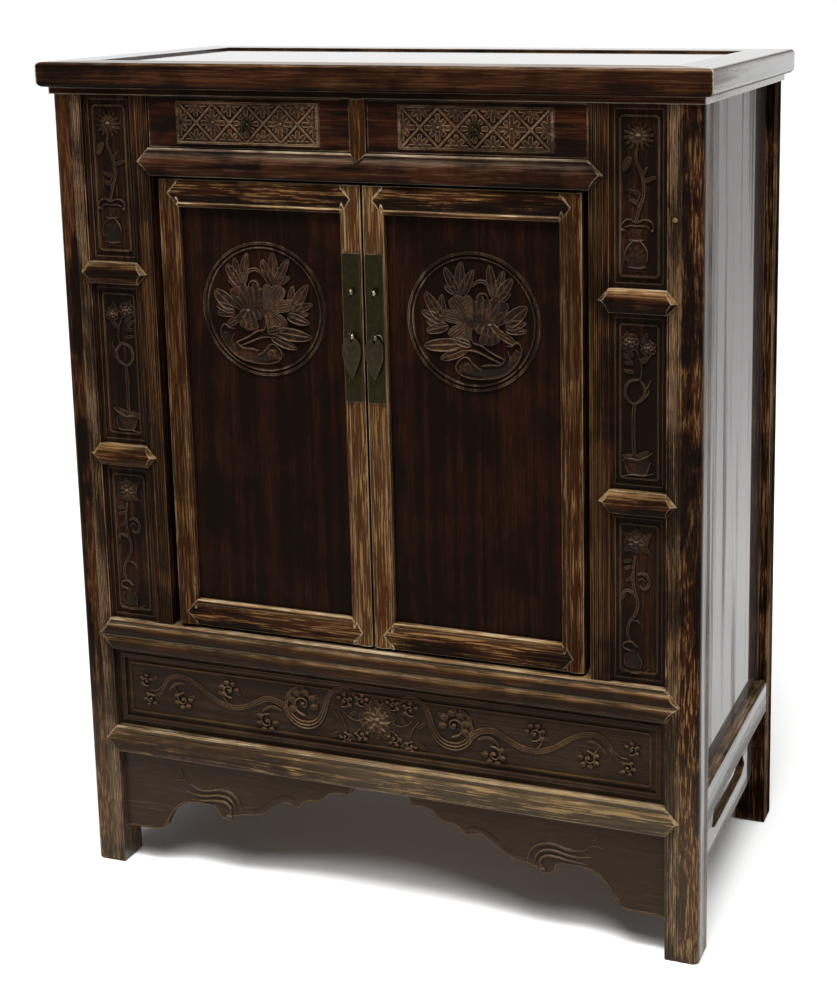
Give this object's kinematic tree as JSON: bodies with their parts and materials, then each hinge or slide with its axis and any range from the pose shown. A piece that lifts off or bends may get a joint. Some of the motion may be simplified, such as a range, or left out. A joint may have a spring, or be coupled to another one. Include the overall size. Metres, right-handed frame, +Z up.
{
  "type": "cabinet",
  "caption": "Lacquered hardwood cabinet with doors below drawers, carved side columns, carved lower panel and scalloped apron, on square post legs.",
  "frame": {"origin": "on the floor under the middle of the cabinet", "axes": "+X to the right seen from the front, -Y out of the front, +Z up"},
  "size_m": [0.804, 0.416, 1],
  "materials": {
    "dark_lacquer": "satin",
    "red_lacquer": "satin",
    "raw_wood": "matte",
    "old_brass": "satin"
  },
  "bodies": {
    "carcass": {"apron_left": "dark_lacquer", "apron_right": "dark_lacquer", "back_panels": "raw_wood", "back_rails": "raw_wood", "bottom_board": "raw_wood", "bottom_rail": "dark_lacquer", "column_panel_left_lower": "dark_lacquer", "column_panel_left_middle": "dark_lacquer", "column_panel_left_upper": "dark_lacquer", "column_panel_right_lower": "dark_lacquer", "column_panel_right_middle": "dark_lacquer", "column_panel_right_upper": "dark_lacquer", "column_rails": "dark_lacquer", "cupboard_floor": "raw_wood", "drawer_guides": "raw_wood", "drawer_mullion": "dark_lacquer", "drawer_rail": "dark_lacquer", "dust_board": "raw_wood", "jamb_left": "dark_lacquer", "jamb_right": "dark_lacquer", "lower_panel": "dark_lacquer", "lower_panel_frame": "dark_lacquer", "post_front_left": "dark_lacquer", "post_front_right": "dark_lacquer", "post_rear_left": "dark_lacquer", "post_rear_right": "dark_lacquer", "shelf": "raw_wood", "side_apron_left": "dark_lacquer", "side_apron_right": "dark_lacquer", "side_panel_left": "dark_lacquer", "side_panel_right": "dark_lacquer", "side_rail_left": "dark_lacquer", "side_rail_right": "dark_lacquer", "sill_rail": "dark_lacquer", "top_back_member": "dark_lacquer", "top_front_member": "dark_lacquer", "top_left_member": "dark_lacquer", "top_panel": "dark_lacquer", "top_right_member": "dark_lacquer"},
    "door_left": {"door_left_meeting_stile": "dark_lacquer", "door_left_panel": "dark_lacquer", "door_left_pivot_stile": "dark_lacquer", "door_left_plate": "old_brass", "door_left_rails": "dark_lacquer"},
    "door_right": {"door_right_meeting_stile": "dark_lacquer", "door_right_panel": "dark_lacquer", "door_right_pivot_stile": "dark_lacquer", "door_right_plate": "old_brass", "door_right_rails": "dark_lacquer"},
    "leaf_left": {"door_left_leaf_pull": "old_brass"},
    "leaf_right": {"door_right_leaf_pull": "old_brass"},
    "drawer_left": {"drawer_left_box": "raw_wood", "drawer_left_front": "red_lacquer", "drawer_left_ring_plate": "old_brass"},
    "drawer_right": {"drawer_right_box": "raw_wood", "drawer_right_front": "red_lacquer", "drawer_right_ring_plate": "old_brass"},
    "ring_left": {"drawer_left_ring": "old_brass"},
    "ring_right": {"drawer_right_ring": "old_brass"}
  },
  "joints": [
    {"name": "door_left_swing", "type": "hinge", "parent": "carcass", "child": "door_left", "pos_m": [-0.246, -0.181, 0.598], "axis": [0, 0, -1], "range_deg": [0, 110]},
    {"name": "leaf_left_swing", "type": "hinge", "parent": "door_left", "child": "leaf_left", "pos_m": [-0.014, -0.198, 0.697], "axis": [-1, 0, 0], "range_deg": [0, 85]},
    {"name": "drawer_left_slide", "type": "slide", "parent": "carcass", "child": "drawer_left", "axis": [0, -1, 0], "range_m": [0, 0.22]},
    {"name": "ring_left_swing", "type": "hinge", "parent": "drawer_left", "child": "ring_left", "pos_m": [-0.13725, -0.1976, 0.9326], "axis": [-1, 0, 0], "range_deg": [0, 85]},
    {"name": "door_right_swing", "type": "hinge", "parent": "carcass", "child": "door_right", "pos_m": [0.246, -0.181, 0.598], "axis": [0, 0, 1], "range_deg": [0, 110]},
    {"name": "leaf_right_swing", "type": "hinge", "parent": "door_right", "child": "leaf_right", "pos_m": [0.014, -0.198, 0.697], "axis": [-1, 0, 0], "range_deg": [0, 85]},
    {"name": "drawer_right_slide", "type": "slide", "parent": "carcass", "child": "drawer_right", "axis": [0, -1, 0], "range_m": [0, 0.22]},
    {"name": "ring_right_swing", "type": "hinge", "parent": "drawer_right", "child": "ring_right", "pos_m": [0.13725, -0.1976, 0.9326], "axis": [-1, 0, 0], "range_deg": [0, 85]}
  ]
}
